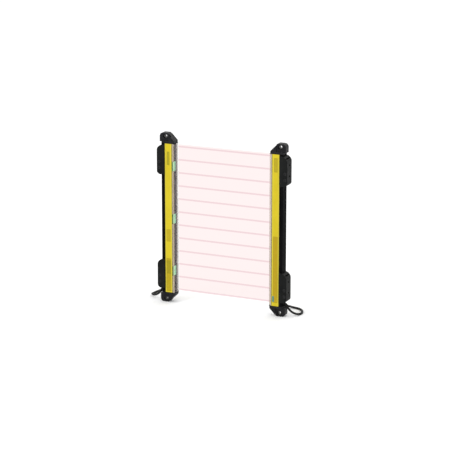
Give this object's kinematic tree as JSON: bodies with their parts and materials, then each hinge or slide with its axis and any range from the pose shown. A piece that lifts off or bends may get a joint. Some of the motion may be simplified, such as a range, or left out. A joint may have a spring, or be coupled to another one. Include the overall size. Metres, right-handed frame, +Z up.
{
  "type": "safety light curtain",
  "caption": "Safety light curtain: a receiver bar and an emitter bar with fixing lugs, clamp brackets and short plug leads, set apart across a detection field",
  "frame": {"origin": "centre of the four fixing holes in the end lugs, which is also the centre of the detection field", "axes": "+X from the receiver to the emitter, +Z up along the bars, +Y away from the side that is looked at"},
  "size_m": [0.3959, 0.15, 0.389],
  "materials": {
    "black_aluminium": "black anodised, satin",
    "black_plastic": "glass-filled, fine texture",
    "black_rubber": "matt silicone rubber",
    "board_laminate": "green solder resist",
    "bracket_black": "black powder coat on die casting",
    "bright_steel": "zinc plated steel",
    "carrier_plastic": "matt black, low reflection",
    "chip_resin": "moulded epoxy",
    "clear_plastic": "clear polycarbonate, glossy",
    "core_vinyl": "coloured core insulation",
    "dark_steel": "black oxide steel",
    "diode_resin": "dark infrared resin",
    "gold_contact": "gold plated brass",
    "green_light": "frosted green light guide",
    "lead_jacket": "black polyurethane jacket",
    "lens_plastic": "clear acrylic, polished",
    "painted_aluminium": "yellow powder coat on extruded aluminium",
    "plug_black": "moulded polyurethane",
    "socket_nylon": "natural nylon",
    "teal_light": "dark teal indicator lens"
  },
  "bodies": {
    "root": {"emitter_board_socket": "socket_nylon", "emitter_bottom_cap": "black_plastic", "emitter_bottom_gasket": "black_rubber", "emitter_cable": "lead_jacket", "emitter_cap_screws": "dark_steel", "emitter_circuit_board": "board_laminate", "emitter_clamp_screws": "dark_steel", "emitter_core_wires": "core_vinyl", "emitter_driver_chips": "chip_resin", "emitter_housing": "painted_aluminium", "emitter_indicator_light": "teal_light", "emitter_infrared_diodes": "diode_resin", "emitter_lenses": "lens_plastic", "emitter_lower_bracket": "bracket_black", "emitter_lower_clamp_jaw": "bracket_black", "emitter_lug_bushes": "bright_steel", "emitter_mounting_rail": "black_aluminium", "emitter_optic_carrier": "carrier_plastic", "emitter_plug_body": "plug_black", "emitter_plug_insert": "black_plastic", "emitter_plug_pins": "gold_contact", "emitter_processor": "chip_resin", "emitter_strain_relief": "black_rubber", "emitter_top_cap": "black_plastic", "emitter_top_gasket": "black_rubber", "emitter_upper_bracket": "bracket_black", "emitter_upper_clamp_jaw": "bracket_black", "emitter_window": "clear_plastic", "emitter_window_seals": "black_rubber", "receiver_board_socket": "socket_nylon", "receiver_bottom_cap": "black_plastic", "receiver_bottom_gasket": "black_rubber", "receiver_cable": "lead_jacket", "receiver_cap_screws": "dark_steel", "receiver_circuit_board": "board_laminate", "receiver_clamp_screws": "dark_steel", "receiver_core_wires": "core_vinyl", "receiver_driver_chips": "chip_resin", "receiver_housing": "painted_aluminium", "receiver_indicator_bars": "green_light", "receiver_lenses": "lens_plastic", "receiver_lower_bracket": "bracket_black", "receiver_lower_clamp_jaw": "bracket_black", "receiver_lug_bushes": "bright_steel", "receiver_mounting_rail": "black_aluminium", "receiver_optic_carrier": "carrier_plastic", "receiver_photodiodes": "diode_resin", "receiver_plug_body": "plug_black", "receiver_plug_insert": "black_plastic", "receiver_plug_pins": "gold_contact", "receiver_processor": "chip_resin", "receiver_strain_relief": "black_rubber", "receiver_top_cap": "black_plastic", "receiver_top_gasket": "black_rubber", "receiver_upper_bracket": "bracket_black", "receiver_upper_clamp_jaw": "bracket_black", "receiver_window": "clear_plastic", "receiver_window_seals": "black_rubber"}
  },
  "joints": []
}
